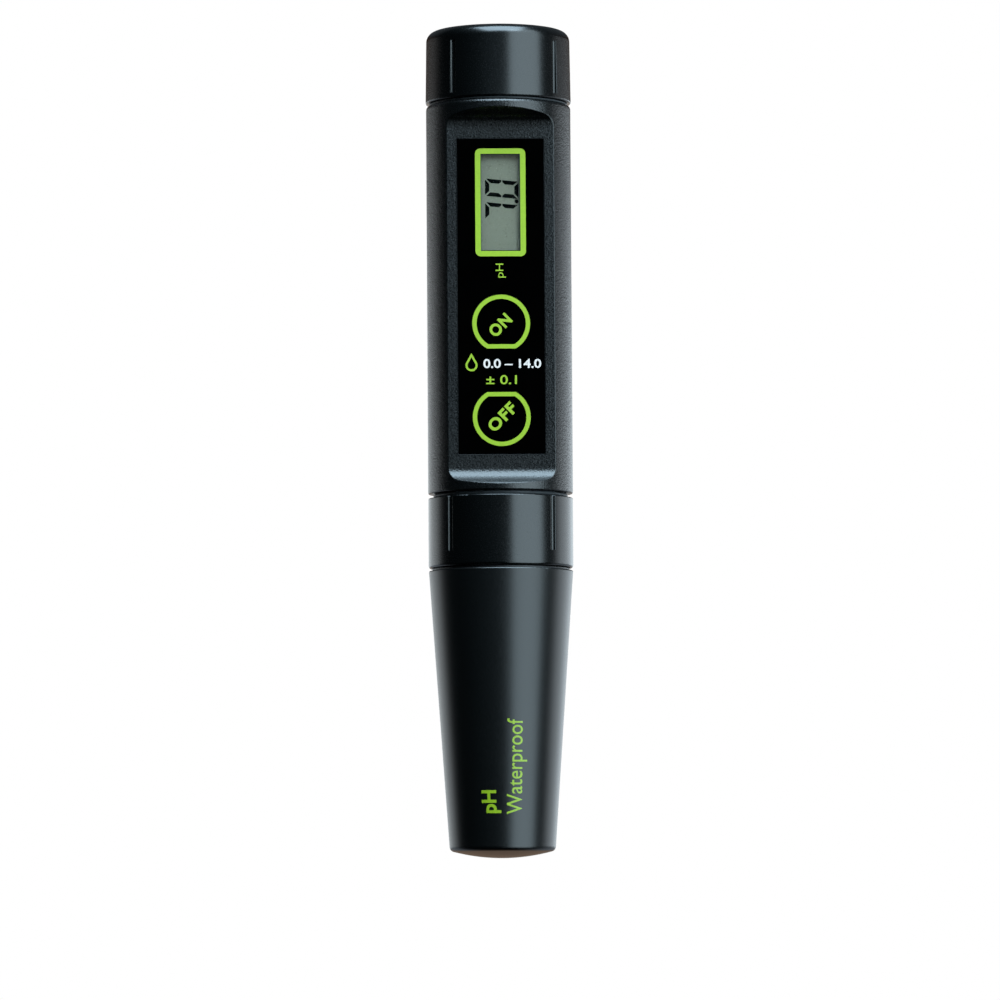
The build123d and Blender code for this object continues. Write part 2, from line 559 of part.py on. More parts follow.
with BuildPart() as contact_pins:
    with BuildSketch(Plane.XY.offset(80.05)) as pin_rounds:
        with Locations((PIN_X[0], 0), (PIN_X[1], 0)):
            Circle(PIN_R)
    extrude(amount=9.4)
    chamfer(contact_pins.faces().group_by(Axis.Z)[-1].edges(), 0.2)
contact_pins.part.label = "contact_pins"
export_step(contact_pins.part, "parts/contact_pins.step")

with BuildPart() as probe_socket:
    with BuildSketch(Plane.XY.offset(86.0)) as socket_round:
        with Locations((PIN_X[1] / 2, 0)):
            Circle(6.0)
        with Locations((PIN_X[0], 0), (PIN_X[1], 0)):
            Circle(PIN_R + 0.2, mode=Mode.SUBTRACT)
    extrude(amount=4.6)
    with BuildSketch(Plane.XY.offset(90.6)) as socket_top:
        with Locations((PIN_X[1] / 2, 0)):
            Circle(6.0)
    extrude(amount=1.4)
probe_socket.part.label = "probe_socket"
export_step(probe_socket.part, "parts/probe_socket.step")

with BuildPart() as signal_leads:
    for lead_x in PIN_X:
        with BuildSketch(Plane.YZ.offset(lead_x - 0.3)) as lead_side:
            with BuildLine():
                Polyline((-0.3, 92.0), (0.3, 92.0), (0.3, 97.3), (-BOARD_BACK_Y, 97.3),
                         (-BOARD_BACK_Y, 96.7), (-0.3, 96.7), close=True)
            make_face()
        extrude(amount=0.6)
signal_leads.part.label = "signal_leads"
export_step(signal_leads.part, "parts/signal_leads.step")

# ---------------------------------------------------------------- protective cap

SHIELD_TOP_R, SHIELD_FOOT_R, DOME_SAG = 17.42, 12.75, 1.8
SEAT_BORE_R, SEAT_Z0 = 15.4, 59.6
with BuildPart() as protective_cap:
    with BuildSketch(Plane.XZ) as shield_outline:
        with BuildLine():
            ThreePointArc((0, 0), (SHIELD_FOOT_R / 2, DOME_SAG / 4), (SHIELD_FOOT_R, DOME_SAG))
            Polyline((SHIELD_FOOT_R, DOME_SAG), (SHIELD_TOP_R, SHIELD_TOP_Z), (SEAT_BORE_R, SHIELD_TOP_Z),
                     (SEAT_BORE_R, SEAT_Z0), (14.9, SEAT_Z0 - 0.5), (11.0, 4.5), (10.2, 3.6), (0, 2.4), (0, 0))
        make_face()
        fillet(shield_outline.vertices().sort_by_distance(Vector(SHIELD_FOOT_R, DOME_SAG))[0], 1.3)
        fillet(shield_outline.vertices().sort_by_distance(Vector(SHIELD_TOP_R, SHIELD_TOP_Z))[0], 0.3)
    revolve(axis=Axis.Z)
protective_cap.part.label = "protective_cap"
export_step(protective_cap.part, "parts/protective_cap.step")

with BuildPart() as storage_sponge:
    revolve(turned_outline([(0, 3.9), (9.6, 3.9), (9.9, 8.4), (0, 8.4)], [((9.9, 8.4), 0.6)]), Axis.Z)
storage_sponge.part.label = "storage_sponge"
export_step(storage_sponge.part, "parts/storage_sponge.step")
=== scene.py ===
"""Studio scene of a waterproof pen-type pH tester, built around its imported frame.

Every length is in metres unless its name ends in _mm. +Z runs up the pen and the
display faces -Y.
"""
import logging
import math
from dataclasses import dataclass
from enum import Enum

import bmesh
import bpy
from mathutils import Matrix, Vector


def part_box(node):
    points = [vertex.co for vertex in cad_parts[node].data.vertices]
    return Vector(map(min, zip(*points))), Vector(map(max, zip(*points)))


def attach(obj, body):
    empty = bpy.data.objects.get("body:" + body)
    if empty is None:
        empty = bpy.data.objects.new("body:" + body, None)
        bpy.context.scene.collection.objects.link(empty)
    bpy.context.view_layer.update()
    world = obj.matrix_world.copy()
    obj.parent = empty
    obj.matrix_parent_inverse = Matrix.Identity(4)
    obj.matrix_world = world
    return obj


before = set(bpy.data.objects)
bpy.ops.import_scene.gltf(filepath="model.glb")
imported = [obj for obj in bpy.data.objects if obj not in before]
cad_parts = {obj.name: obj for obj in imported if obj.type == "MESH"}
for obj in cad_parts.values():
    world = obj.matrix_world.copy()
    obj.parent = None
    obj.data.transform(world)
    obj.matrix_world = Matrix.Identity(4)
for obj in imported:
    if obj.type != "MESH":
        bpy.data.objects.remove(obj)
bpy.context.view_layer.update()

MM = 0.001
# Height of a capital letter as a share of the type size.
CAPITAL = 0.73
log = logging.getLogger("ph_tester")


# ---------------------------------------------------------------- small helpers


def colour(code: str, alpha: float = 1.0) -> tuple[float, float, float, float]:
    """Turns an sRGB hex value into a linear colour.

    Args:
        code: the colour as #RRGGBB.
        alpha: the fourth value of the result.

    Returns:
        Red, green, blue and alpha, linear.
    """
    def channel(start: int) -> float:
        """The linear value of the two hex digits from start on."""
        part = int(code[start:start + 2], 16) / 255
        return part / 12.92 if part <= 0.04045 else ((part + 0.055) / 1.055) ** 2.4
    return channel(1), channel(3), channel(5), alpha


def add_node(tree: bpy.types.NodeTree, kind: str, inputs: dict | None = None, **settings) -> bpy.types.Node:
    """Adds one node with its settings, values and links.

    Args:
        tree: the node tree that takes the node.
        kind: the node's Blender type.
        inputs: input name or number to a value, or to the socket that feeds it.
        **settings: the node's own properties.

    Returns:
        The new node.
    """
    made = tree.nodes.new(kind)
    for name, value in settings.items():
        setattr(made, name, value)
    for socket, value in (inputs or {}).items():
        if isinstance(value, bpy.types.NodeSocket):
            tree.links.new(value, made.inputs[socket])
        else:
            made.inputs[socket].default_value = value
    return made


def ramp(tree: bpy.types.NodeTree, value: bpy.types.NodeSocket, start: float,
         end: float) -> bpy.types.NodeSocket:
    """A soft step of a value, 0 at start and 1 at end.

    Args:
        tree: the tree that it goes into.
        value: the value that is stepped.
        start: where the step begins.
        end: where it ends, which may lie below start.

    Returns:
        The step's output.
    """
    return add_node(tree, "ShaderNodeMapRange", {"Value": value, 1: start, 2: end},
                    interpolation_type="SMOOTHSTEP").outputs["Result"]


def blend(tree: bpy.types.NodeTree, factor: bpy.types.NodeSocket,
          first: bpy.types.NodeSocket | tuple[float, ...],
          second: bpy.types.NodeSocket | tuple[float, ...]) -> bpy.types.NodeSocket:
    """A mix of two colours.

    Args:
        tree: the tree that it goes into.
        factor: 0 for the first colour, 1 for the second.
        first: a colour or the socket that gives it.
        second: the same for the other colour.

    Returns:
        The mixed colour's output.
    """
    return add_node(tree, "ShaderNodeMix", {"Factor": factor, "A": first, "B": second},
                    data_type="RGBA").outputs["Result"]


def per_mm(size_mm: float) -> float:
    """Scale of a texture on coordinates in metres.

    Args:
        size_mm: how far across its features are.

    Returns:
        The value for the texture's Scale socket.
    """
    return 1.0 / (size_mm * MM)


def new_material(name: str) -> tuple[bpy.types.Material, bpy.types.NodeTree, bpy.types.NodeSocket]:
    """Starts an empty material.

    Args:
        name: the material's name.

    Returns:
        The material, its node tree and the object coordinates that its patterns lie on.
    """
    material = bpy.data.materials.new(name)
    material.use_nodes = True
    tree = material.node_tree
    tree.nodes.clear()
    return material, tree, add_node(tree, "ShaderNodeTexCoord").outputs["Object"]


def finish_node(name: str, material: bpy.types.Material) -> None:
    """Gives a CAD node its material.

    Args:
        name: the node's name.
        material: its finish.
    """
    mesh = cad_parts[name].data
    mesh.materials.clear()
    mesh.materials.append(material)


def add_piece(name: str, mesh: bpy.types.Mesh, material: bpy.types.Material, body: str) -> bpy.types.Object:
    """Puts a finished mesh into the scene as a piece that rides on a body.

    Args:
        name: the piece's name.
        mesh: its mesh, already in place in the row frame.
        material: its finish.
        body: the CAD body that it moves with.

    Returns:
        The new object, at the origin.
    """
    mesh.materials.clear()
    mesh.materials.append(material)
    piece = bpy.data.objects.new(name, mesh)
    bpy.context.scene.collection.objects.link(piece)
    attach(piece, body)
    log.info("piece %s rides on %s with %d faces", name, body, len(mesh.polygons))
    return piece


def mesh_of(data: bpy.types.Curve) -> bpy.types.Mesh:
    """Turns a curve or a text into a mesh and removes the curve.

    Args:
        data: the curve or text data.

    Returns:
        Its mesh, in the curve's own plane.
    """
    holder = bpy.data.objects.new("outline_holder", data)
    bpy.context.scene.collection.objects.link(holder)
    bpy.context.view_layer.update()
    graph = bpy.context.evaluated_depsgraph_get()
    mesh = bpy.data.meshes.new_from_object(holder.evaluated_get(graph))
    bpy.data.objects.remove(holder)
    bpy.data.curves.remove(data)
    return mesh


def arc(radius: float, start: float, end: float, steps: int,
        centre: tuple[float, float] = (0.0, 0.0)) -> list[tuple[float, float]]:
    """Points along a circular arc.

    Args:
        radius: the arc's radius.
        start: its first angle in degrees.
        end: its last angle in degrees.
        steps: the number of spans.
        centre: the arc's centre.

    Returns:
        The points, both ends included.
    """
    angles = [math.radians(start + (end - start) * i / steps) for i in range(steps + 1)]
    return [(centre[0] + radius * math.cos(a), centre[1] + radius * math.sin(a)) for a in angles]


def flat_shape(loops: list[list[tuple[float, float]]], thickness: float) -> bpy.types.Mesh:
    """Fills closed loops as one flat shape with holes.

    Args:
        loops: outlines in the XY plane; a loop inside another is a hole.
        thickness: how thick the shape is, with its middle on z = 0.

    Returns:
        The filled mesh.
    """
    data = bpy.data.curves.new("flat_shape", "CURVE")
    data.dimensions = "2D"
    data.fill_mode = "BOTH"
    data.extrude = thickness / 2
    for loop in loops:
        spline = data.splines.new("POLY")
        spline.points.add(len(loop) - 1)
        for point, (x, y) in zip(spline.points, loop):
            point.co = (x, y, 0, 1)
        spline.use_cyclic_u = True
    return mesh_of(data)


def lettering(words: str, cap_height: float, length: float, thickness: float, weight: float = 0.0,
              spacing: float = 1.0) -> bpy.types.Mesh:
    """Plain sans lettering, with the middle of its capitals on the origin of the XY plane.

    Args:
        words: the text.
        cap_height: the height of its capitals.
        length: the length of the whole text.
        thickness: how thick the print is.
        weight: how far each outline moves outwards for a bolder letter, as a share of the type size.
        spacing: the spacing between letters, 1 as usual.

    Returns:
        The mesh of the text.
    """
    data = bpy.data.curves.new("lettering", "FONT")
    data.body = words
    data.align_x = "CENTER"
    data.offset = weight
    data.space_character = spacing
    data.resolution_u = 6
    mesh = mesh_of(data)
    low = min(v.co.x for v in mesh.vertices)
    high = max(v.co.x for v in mesh.vertices)
    mesh.transform(Matrix.Translation((-(low + high) / 2, -CAPITAL / 2, 0)))
    mesh.transform(Matrix.Diagonal((length / (high - low), cap_height / (CAPITAL + 2 * weight), 1, 1)))
    thicken(mesh, thickness)
    return mesh


def thicken(mesh: bpy.types.Mesh, thickness: float) -> None:
    """Gives a flat mesh in the XY plane a thickness, with its middle on z = 0.

    Args:
        mesh: the flat mesh, changed in place.
        thickness: how thick it becomes.
    """
    made = bmesh.new()
    made.from_mesh(mesh)
    bmesh.ops.remove_doubles(made, verts=made.verts, dist=1e-7)
    faces = list(made.faces)
    top = bmesh.ops.extrude_face_region(made, geom=faces)
    raised = [item for item in top["geom"] if isinstance(item, bmesh.types.BMVert)]
    bmesh.ops.translate(made, verts=raised, vec=(0, 0, thickness))
    bmesh.ops.translate(made, verts=made.verts, vec=(0, 0, -thickness / 2))
    bmesh.ops.recalc_face_normals(made, faces=made.faces)
    for face in made.faces:
        face.smooth = False
    made.to_mesh(mesh)
    made.free()


def face_front(mesh: bpy.types.Mesh, x: float, z: float, front_y: float,
               turn: float = 0.0) -> bpy.types.Mesh:
    """Stands a mesh from the XY plane up on the front of the pen.

    Args:
        mesh: the flat mesh.
        x: where its centre goes, across.
        z: where its centre goes, up.
        front_y: the plane y = -front_y that it lies on.
        turn: anticlockwise turn in degrees, as seen from the front.

    Returns:
        The same mesh, moved.
    """
    spin = Matrix.Rotation(math.radians(turn), 4, "Z")
    stand = Matrix.Rotation(math.radians(90), 4, "X")
    mesh.transform(Matrix.Translation((x, -front_y, z)) @ stand @ spin)
    return mesh


def joined(meshes: list[bpy.types.Mesh], name: str) -> bpy.types.Mesh:
    """Joins several meshes into one.

    Args:
        meshes: the meshes, all in the same frame.
        name: the name of the result.

    Returns:
        The joined mesh.
    """
    made = bmesh.new()
    for mesh in meshes:
        made.from_mesh(mesh)
        bpy.data.meshes.remove(mesh)
    result = bpy.data.meshes.new(name)
    made.to_mesh(result)
    made.free()
    return result


# ---------------------------------------------------------------- finishes


@dataclass(frozen=True)
class Moulded:
    """An injection-moulded plastic.

    Fine random pits of the tool's spark-eroded or polished steel break up its gloss, and
    slow waves of flow and shrinkage keep its reflections from being ruler-straight.
    """
    name: str
    base: str
    roughness: float
    spread: float = 0.05
    grain_mm: float = 0.3
    grain_depth_mm: float = 0.01
    wave_mm: float = 9.0
    wave_depth_mm: float = 0.01
    fleck: str | None = None
    ior: float = 1.53

    def build(self) -> bpy.types.Material:
        """Builds the material.

        Returns:
            The plastic, with its grain on object coordinates.
        """
        material, tree, place = new_material(self.name)
        grain = add_node(tree, "ShaderNodeTexNoise", {
            "Vector": place, "Scale": per_mm(self.grain_mm), "Detail": 3.0, "Roughness": 0.6})
        waves = add_node(tree, "ShaderNodeTexNoise", {
            "Vector": place, "Scale": per_mm(self.wave_mm), "Detail": 2.0})
        rough = add_node(tree, "ShaderNodeMapRange", {
            "Value": grain.outputs["Fac"], 1: 0.3, 2: 0.7,
            3: self.roughness - self.spread, 4: self.roughness + self.spread})
        tint = blend(tree, waves.outputs["Fac"], colour(self.base), colour(self.fleck or self.base))
        wave_bump = add_node(tree, "ShaderNodeBump", {
            "Height": waves.outputs["Fac"], "Strength": 1.0, "Distance": self.wave_depth_mm * MM})
        grain_bump = add_node(tree, "ShaderNodeBump", {
            "Height": grain.outputs["Fac"], "Strength": 1.0, "Distance": self.grain_depth_mm * MM,
            "Normal": wave_bump.outputs["Normal"]})
        shader = add_node(tree, "ShaderNodeBsdfPrincipled", {
            "Base Color": tint, "Roughness": rough.outputs["Result"],
            "Normal": grain_bump.outputs["Normal"], "IOR": self.ior})
        add_node(tree, "ShaderNodeOutputMaterial", {"Surface": shader.outputs["BSDF"]})
        return material


@dataclass(frozen=True)
class GrainedABS(Moulded):
    """ABS from a tool with a spark-eroded texture.

    The eroded craters scatter the overhead light into a fine, cool speckle over a deep black.
    """
    crater_mm: float = 0.36
    crater_depth_mm: float = 0.04

    def build(self) -> bpy.types.Material:
        """Builds the material.

        Returns:
            The grained plastic.
        """
        material = super().build()
        tree = material.node_tree
        shader = next(n for n in tree.nodes if n.type == "BSDF_PRINCIPLED")
        place = next(n for n in tree.nodes if n.type == "TEX_COORD").outputs["Object"]
        craters = add_node(tree, "ShaderNodeTexVoronoi", {
            "Vector": place, "Scale": per_mm(self.crater_mm)}, feature="SMOOTH_F1")
        last = shader.inputs["Normal"].links[0].from_socket
        bump = add_node(tree, "ShaderNodeBump", {
            "Height": craters.outputs["Distance"], "Strength": 1.0,
            "Distance": self.crater_depth_mm * MM, "Normal": last})
        tree.links.new(bump.outputs["Normal"], shader.inputs["Normal"])
        return material


@dataclass(frozen=True)
class Ink:
    """Screen-printed ink on the back of a film or on moulded plastic.

    The mesh of the screen leaves the colour very slightly uneven and the edge semi-matt.
    """
    name: str
    base: str
    thin: str
    roughness: float = 0.38
    mesh_mm: float = 0.35

    def build(self) -> bpy.types.Material:
        """Builds the material.

        Returns:
            The ink, a little thinner where the screen's mesh let less through.
        """
        material, tree, place = new_material(self.name)
        cover = add_node(tree, "ShaderNodeTexNoise", {
            "Vector": place, "Scale": per_mm(self.mesh_mm), "Detail": 2.0})
        spread = add_node(tree, "ShaderNodeMapRange", {"Value": cover.outputs["Fac"], 1: 0.35, 2: 0.75})
        tint = blend(tree, spread.outputs["Result"], colour(self.base), colour(self.thin))
        bump = add_node(tree, "ShaderNodeBump", {
            "Height": cover.outputs["Fac"], "Strength": 0.6, "Distance": 0.004 * MM})
        shader = add_node(tree, "ShaderNodeBsdfPrincipled", {
            "Base Color": tint, "Roughness": self.roughness,
            "Normal": bump.outputs["Normal"]})
        add_node(tree, "ShaderNodeOutputMaterial", {"Surface": shader.outputs["BSDF"]})
        return material


@dataclass(frozen=True)
class Metal:
    """A plated, drawn or turned metal part.

    Drawing and plating leave fine lines along one axis, so its highlights are a little streaked.
    """
    name: str
    base: str
    worn: str
    roughness: float
    line_mm: tuple[float, float, float] = (0.08, 0.08, 3.0)

    def build(self) -> bpy.types.Material:
        """Builds the material.

        Returns:
            The metal, with its tool lines along the long axis of line_mm.
        """
        material, tree, place = new_material(self.name)
        stretch = add_node(tree, "ShaderNodeMapping", {
            "Vector": place, "Scale": tuple(per_mm(size) for size in self.line_mm)})
        lines = add_node(tree, "ShaderNodeTexNoise", {
            "Vector": stretch.outputs["Vector"], "Scale": 1.0, "Detail": 3.0})
        cloud = add_node(tree, "ShaderNodeTexNoise", {"Vector": place, "Scale": per_mm(2.5), "Detail": 3.0})
        tint = blend(tree, cloud.outputs["Fac"], colour(self.base), colour(self.worn))
        rough = add_node(tree, "ShaderNodeMapRange", {
            "Value": lines.outputs["Fac"], 1: 0.3, 2: 0.7,
            3: self.roughness * 0.7, 4: self.roughness * 1.4})
        bump = add_node(tree, "ShaderNodeBump", {
            "Height": lines.outputs["Fac"], "Strength": 0.5, "Distance": 0.004 * MM})
        shader = add_node(tree, "ShaderNodeBsdfPrincipled", {
            "Base Color": tint, "Metallic": 1.0,
            "Roughness": rough.outputs["Result"], "Normal": bump.outputs["Normal"]})
        add_node(tree, "ShaderNodeOutputMaterial", {"Surface": shader.outputs["BSDF"]})
        return material


@dataclass(frozen=True)
class Glass:
    """Clear blown glass or cast film.

    Nearly smooth, so it shows what is behind it under a clean, sharp reflection.
    """
    name: str
    tint: str
    roughness: float
    ior: float
    haze_mm: float = 1.2

    def build(self) -> bpy.types.Material:
        """Builds the material.

        Returns:
            The clear material, which lets lamps through to what it covers.
        """
        material, tree, place = new_material(self.name)
        haze = add_node(tree, "ShaderNodeTexNoise", {
            "Vector": place, "Scale": per_mm(self.haze_mm), "Detail": 3.0})
        rough = add_node(tree, "ShaderNodeMapRange", {
            "Value": haze.outputs["Fac"], 3: self.roughness * 0.5, 4: self.roughness * 1.6})
        bump = add_node(tree, "ShaderNodeBump", {
            "Height": haze.outputs["Fac"], "Strength": 0.3, "Distance": 0.004 * MM})
        shader = add_node(tree, "ShaderNodeBsdfPrincipled", {
            "Base Color": colour(self.tint), "Transmission Weight": 1.0, "IOR": self.ior,
            "Roughness": rough.outputs["Result"], "Normal": bump.outputs["Normal"]})
        clear = add_node(tree, "ShaderNodeBsdfTransparent", {"Color": colour(self.tint)})
        path = add_node(tree, "ShaderNodeLightPath")
        mixed = add_node(tree, "ShaderNodeMixShader", {
            0: path.outputs["Is Shadow Ray"], 1: shader.outputs["BSDF"], 2: clear.outputs["BSDF"]})
        add_node(tree, "ShaderNodeOutputMaterial", {"Surface": mixed.outputs["Shader"]})
        return material


@dataclass(frozen=True)
class SolderMask:
    """Green solder mask over a copper-clad laminate.

    The mask is a thin gloss lacquer; the tracks under it stand up a little and show lighter.
    """
    name: str = "solder_mask_on_laminate"
    track_mm: float = 2.6
    track_height_mm: float = 0.035

    def build(self) -> bpy.types.Material:
        """Builds the material.

        Returns:
            The lacquer, with tracks at half of track_mm from each other under it.
        """
        material, tree, place = new_material(self.name)
        turned = add_node(tree, "ShaderNodeMapping", {
            "Vector": place, "Rotation": (math.radians(90), 0, 0)})
        tracks = add_node(tree, "ShaderNodeTexBrick", {
            "Vector": turned.outputs["Vector"], "Scale": per_mm(self.track_mm), "Mortar Size": 0.09,
            "Color1": colour("#0E4A2C"), "Color2": colour("#0B3F25"), "Mortar": colour("#2B7A48"),
            "Brick Width": 1.4, "Row Height": 0.5})
        bump = add_node(tree, "ShaderNodeBump", {
            "Height": tracks.outputs["Fac"], "Strength": 1.0, "Distance": self.track_height_mm * MM})
        shader = add_node(tree, "ShaderNodeBsdfPrincipled", {
            "Base Color": tracks.outputs["Color"], "Roughness": 0.28, "Normal": bump.outputs["Normal"]})
        add_node(tree, "ShaderNodeOutputMaterial", {"Surface": shader.outputs["BSDF"]})
        return material


@dataclass(frozen=True)
class Foam:
    """Open-cell cellulose foam that holds the storage liquid.

    Its open cells are painted darker, as shade in the holes, between bright, rough walls.
    """
    name: str = "open_cell_foam"
    # Colour of the cell holes: painted shade.
    cell: str = "#6E5F2C"
    wall: str = "#D9C878"
    cell_mm: float = 0.9
    cell_depth_mm: float = 0.3

    def build(self) -> bpy.types.Material:
        """Builds the material.

        Returns:
            The foam, with cells of cell_mm.
        """
        material, tree, place = new_material(self.name)
        cells = add_node(tree, "ShaderNodeTexVoronoi", {"Vector": place, "Scale": per_mm(self.cell_mm)})
        depth = add_node(tree, "ShaderNodeMapRange", {"Value": cells.outputs["Distance"], 1: 0.15, 2: 0.6})
        # The cell holes get the darker colour: painted shade in the holes.
        tint = blend(tree, depth.outputs["Result"], colour(self.cell), colour(self.wall))
        bump = add_node(tree, "ShaderNodeBump", {
            "Height": depth.outputs["Result"], "Strength": 1.0, "Distance": self.cell_depth_mm * MM})
        shader = add_node(tree, "ShaderNodeBsdfPrincipled", {
            "Base Color": tint, "Roughness": 0.85, "Normal": bump.outputs["Normal"]})
        add_node(tree, "ShaderNodeOutputMaterial", {"Surface": shader.outputs["BSDF"]})
        return material


@dataclass(frozen=True)
class StudioSweep:
    """Matt paper sweep: a pale, slightly mottled floor that runs out into the white backdrop."""
    name: str = "matt_paper_sweep"
    mottle_mm: float = 40.0
    fade_from: float = 0.3
    fade_to: float = 0.95

    def build(self) -> bpy.types.Material:
        """Builds the material.

        Returns:
            The paper, warm in itself so that it looks neutral under the cool lamps.
        """
        material, tree, place = new_material(self.name)
        mottle = add_node(tree, "ShaderNodeTexNoise", {
            "Vector": place, "Scale": per_mm(self.mottle_mm), "Detail": 3.0})
        tint = blend(tree, mottle.outputs["Fac"], colour("#B7A292"), colour("#B29D8E"))
        paper = add_node(tree, "ShaderNodeBsdfPrincipled", {"Base Color": tint, "Roughness": 0.8})
        backdrop = add_node(tree, "ShaderNodeEmission", {"Color": (1.0, 1.0, 1.0, 1.0), "Strength": 1.0})
        away = add_node(tree, "ShaderNodeVectorMath", {0: place}, operation="LENGTH")
        mixed = add_node(tree, "ShaderNodeMixShader", {
            0: ramp(tree, away.outputs["Value"], self.fade_from, self.fade_to),
            1: paper.outputs["BSDF"], 2: backdrop.outputs["Emission"]})
        add_node(tree, "ShaderNodeOutputMaterial", {"Surface": mixed.outputs["Shader"]})
        return material


class Finish(Enum):
    """The finishes of the tester, each one after the real material it stands for."""
    HOUSING = GrainedABS("spark_grained_abs", "#020303", 0.28, 0.08, grain_mm=0.26, grain_depth_mm=0.03,
                         fleck="#050606")
    SHIELD = Moulded("fine_matt_abs", "#010202", 0.34, 0.04, grain_mm=0.24, grain_depth_mm=0.002,
                     wave_mm=14.0, wave_depth_mm=0.01, fleck="#030404")
    CAP = Moulded("satin_abs", "#010202", 0.25, 0.04, grain_mm=0.24, grain_depth_mm=0.002,
                  wave_mm=14.0, wave_depth_mm=0.01, fleck="#030404")
    SPIGOT = Moulded("polished_abs_threads", "#040505", 0.28, 0.06, grain_mm=0.3, grain_depth_mm=0.004)
    OVERLAY = Moulded("black_polyester_film", "#000000", 0.07, 0.02, grain_mm=0.5, grain_depth_mm=0.0012,
                      wave_mm=5.0, wave_depth_mm=0.002, fleck="#010101", ior=1.5)
    FILM_EDGE = Moulded("cut_polyester_edge", "#0A0B0C", 0.3, 0.06, grain_mm=0.3, grain_depth_mm=0.01,
                        fleck="#101214", ior=1.57)
    NATURAL = Moulded("natural_nylon", "#C9C5B6", 0.5, 0.08, fleck="#D8D4C6")
    RESIN = Moulded("epoxy_moulding_resin", "#121212", 0.55, 0.1, fleck="#1B1B1B")
    PROBE = Moulded("matt_pei_probe_shell", "#15171A", 0.45, 0.08, fleck="#1B1D20")
    TRIMMER_BLUE = Moulded("blue_pbt_trimmer", "#1C50A8", 0.35, 0.06, fleck="#2059B4")
    TRIMMER_WHITE = Moulded("white_pbt_rotor", "#D9D8D2", 0.4, 0.06, fleck="#E6E5E0")
    GREY_RUBBER = Moulded("grey_silicone_rubber", "#33373A", 0.5, 0.07, fleck="#3B3F42", ior=1.41)
    BLACK_RUBBER = Moulded("black_nitrile_rubber", "#101010", 0.46, 0.08, fleck="#161616", ior=1.52)
    CERAMIC = Moulded("fired_ceramic", "#8A7154", 0.5, 0.1, grain_mm=0.15, fleck="#A58B6C")
    JUNCTION = Moulded("porous_ceramic", "#E4E0D6", 0.8, 0.1, grain_mm=0.12, grain_depth_mm=0.03,
                       fleck="#F0EDE6")
    LCD = Moulded("reflective_twisted_nematic_glass", "#575548", 0.3, 0.04, grain_mm=0.4,
                  grain_depth_mm=0.001, wave_mm=16.0, wave_depth_mm=0.003, fleck="#5D5B4E", ior=1.52)
    SEGMENT = Ink("dark_liquid_crystal_segment", "#010202", "#040505", 0.1)
    WHITE_INK = Ink("white_screen_ink", "#C4B8B1", "#B9AEA7")
    # Black ink used only for the painted shadow inside the display frame.
    PAINTED_SHADOW_INK = Ink("painted_shadow_ink", "#060606", "#0A0A0A")
    GREEN_INK = Ink("green_screen_ink", "#809A1A", "#779118")
    NICKEL = Metal("nickel_plated_steel", "#B9B6AC", "#A8A498", 0.26)
    CELL = Metal("drawn_steel_can", "#C3C3C2", "#AEAEAC", 0.2)
    SILVER = Metal("silver_wire", "#D8D6CF", "#B9B5AA", 0.3)
    GOLD = Metal("gold_plate", "#D9B15A", "#C79C45", 0.22)
    WINDOW = Glass("clear_polyester_window", "#F6F8F7", 0.02, 1.5)
    ELECTRODE = Glass("clear_ph_glass", "#EAF3F5", 0.02, 1.47)
    BOARD = SolderMask()
    FOAM = Foam()


class Finishes:
    """Builds each finish once and hands it out."""

    def __init__(self) -> None:
        """Starts with nothing built."""
        self.built: dict[Finish, bpy.types.Material] = {}

    def __getitem__(self, finish: Finish) -> bpy.types.Material:
        """The material of a finish.

        Args:
            finish: one of the tester's finishes.

        Returns:
            Its material, built at the first call.
        """
        if finish not in self.built:
            self.built[finish] = finish.value.build()
        return self.built[finish]


# ---------------------------------------------------------------- repeated shapes by rule


